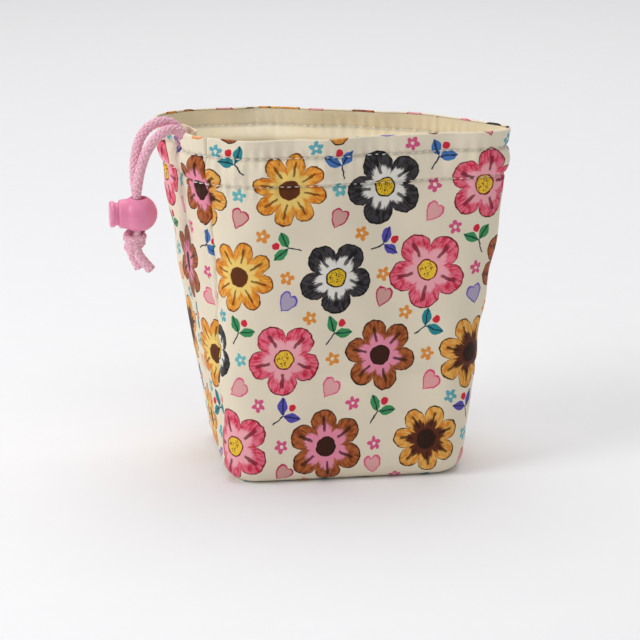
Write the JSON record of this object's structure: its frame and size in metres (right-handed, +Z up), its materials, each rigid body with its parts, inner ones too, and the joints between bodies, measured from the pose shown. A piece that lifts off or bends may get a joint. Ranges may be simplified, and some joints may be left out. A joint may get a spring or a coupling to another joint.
{
  "type": "drawstring dice bag",
  "caption": "Lined cotton drawstring bag with a boxed base that stands open, a cord in a sewn channel under the rim, and a ball cord lock with a push button on the cord ends.",
  "frame": {"origin": "centre of the bag's own box at the surface it stands on, without the cord ends and the lock", "axes": "+Z up, the front panel faces -Y, the cord ends hang at -X"},
  "size_m": [0.1852, 0.0957, 0.1667],
  "materials": {
    "printed_cotton": "cream cotton canvas with a scattered floral print",
    "lining_cotton": "plain cream cotton",
    "pink_cord": "braided pink cord",
    "pink_plastic": "moulded pink plastic, satin gloss",
    "spring_steel": "bright wire"
  },
  "bodies": {
    "bag": {"outer_front_panel": "printed_cotton", "outer_back_panel": "printed_cotton", "lining_front_panel": "lining_cotton", "lining_back_panel": "lining_cotton", "drawstring_loop": "pink_cord", "drawstring_front_strand": "pink_cord", "drawstring_rear_strand": "pink_cord", "drawstring_knot": "pink_cord"},
    "cord_lock": {"cord_lock_body": "pink_plastic", "cord_lock_spring": "spring_steel"},
    "lock_button": {"cord_lock_plunger": "pink_plastic"}
  },
  "joints": [
    {"name": "lock_slide", "type": "slide", "parent": "bag", "child": "cord_lock", "axis": [0, 0, 1], "range_m": [0, 0.018], "deforming": ["drawstring_front_strand", "drawstring_rear_strand"]},
    {"name": "button_press", "type": "slide", "parent": "cord_lock", "child": "lock_button", "axis": [1, 0, 0], "range_m": [0, 0.0018], "stiffness_N_per_m": 400, "springref_m": -0.002, "deforming": ["cord_lock_spring"]}
  ]
}
